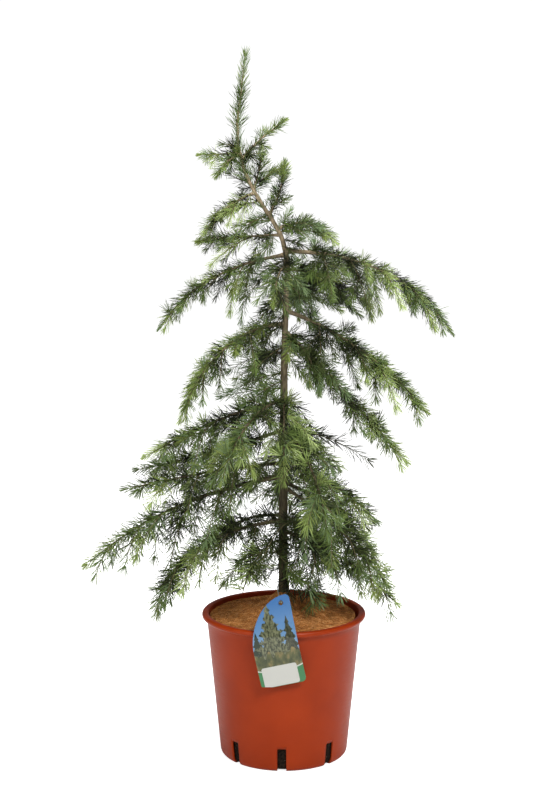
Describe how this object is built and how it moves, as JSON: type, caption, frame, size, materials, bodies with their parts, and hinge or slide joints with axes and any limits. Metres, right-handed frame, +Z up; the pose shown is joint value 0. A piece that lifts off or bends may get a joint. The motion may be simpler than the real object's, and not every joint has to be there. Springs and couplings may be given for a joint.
{
  "type": "young cedar tree in a nursery pot",
  "caption": "Young weeping cedar in a round terracotta-coloured pot: kinked leader, drooping boughs with needle sprays, coir mulch disc and hanging label.",
  "frame": {"origin": "centre of the flat underside of the pot", "axes": "+Z up along the pot's axis, -Y towards the hanging label, which is the side the tree is seen from, +X to the right seen from there"},
  "size_m": [0.6601, 0.4871, 1.2699],
  "materials": {
    "terracotta_plastic": "satin moulded orange-brown plastic",
    "compost": "damp dark compost",
    "coir_felt": "coarse brown coir felt",
    "bark": "thin grey-brown bark, tan on the young wood",
    "needles": "blue-green needles with a waxy sheen, yellow-green at the tips",
    "printed_label": "thin printed plastic, sky blue over a green tree line, with a bare white panel",
    "tie_plastic": "thin dark green plastic tie"
  },
  "bodies": {
    "root": {"pot": "terracotta_plastic", "soil": "compost", "mulch_disc": "coir_felt", "label": "printed_label", "trunk": "bark", "label_tie": "tie_plastic", "low_left_bough": "bark", "long_left_bough": "bark", "long_right_bough": "bark", "right_back_low_bough": "bark", "back_low_bough": "bark", "mid_left_front_bough": "bark", "mid_left_bough": "bark", "back_mid_bough": "bark", "left_upper_bough": "bark", "back_left_bough": "bark", "right_dark_bough": "bark", "left_arch_bough": "bark", "right_arm_bough": "bark", "right_top_bough": "bark", "left_top_bough": "bark", "foot_right_foliage": "needles", "low_left_front_foliage": "needles", "low_left_foliage": "needles", "low_right_foliage": "needles", "low_back_right_foliage": "needles", "low_right_front_foliage": "needles", "low_back_left_foliage": "needles", "long_left_foliage": "needles", "long_right_foliage": "needles", "right_back_low_foliage": "needles", "back_low_foliage": "needles", "mid_left_front_foliage": "needles", "right_mid_foliage": "needles", "mid_left_foliage": "needles", "front_right_foliage": "needles", "back_mid_foliage": "needles", "left_upper_foliage": "needles", "front_left_foliage": "needles", "right_shoulder_foliage": "needles", "front_hanging_foliage": "needles", "back_left_foliage": "needles", "right_dark_foliage": "needles", "left_arch_foliage": "needles", "right_hanging_foliage": "needles", "right_arm_foliage": "needles", "back_upper_foliage": "needles", "right_back_top_foliage": "needles", "front_top_foliage": "needles", "right_top_foliage": "needles", "left_top_foliage": "needles", "right_crest_foliage": "needles", "left_crest_foliage": "needles", "crown_right_foliage": "needles", "crown_left_foliage": "needles", "crown_back_foliage": "needles", "collar_foliage": "needles", "tip_left_foliage": "needles", "tip_right_foliage": "needles", "leader_foliage": "needles"}
  },
  "joints": []
}
